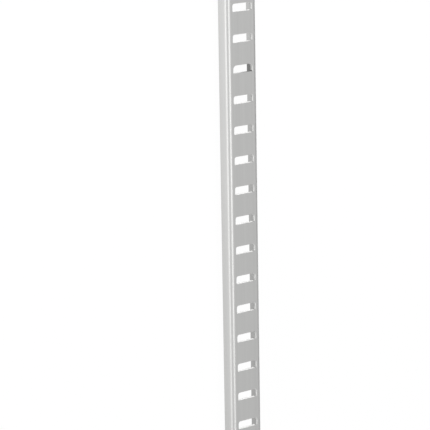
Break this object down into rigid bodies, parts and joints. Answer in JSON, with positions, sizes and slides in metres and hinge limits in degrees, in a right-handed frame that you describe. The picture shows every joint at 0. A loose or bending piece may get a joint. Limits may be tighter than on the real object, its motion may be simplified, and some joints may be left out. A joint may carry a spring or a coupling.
{
  "type": "shelf pilaster strip",
  "caption": "Shallow U-section steel strip with round bends and an even row of cross slots that shelf clips hook into; open at the back.",
  "frame": {"origin": "under the middle of the strip, in the plane of its two flange edges", "axes": "+Y along the strip, towards its top end as fixed to a wall; +Z out of the slotted face; +X across the strip, to the right as it is looked at from the front"},
  "size_m": [0.016, 0.6096, 0.0058],
  "materials": {
    "sheet_metal": "satin, fine grain along the length"
  },
  "bodies": {
    "root": {"strip": "sheet_metal"}
  },
  "joints": []
}
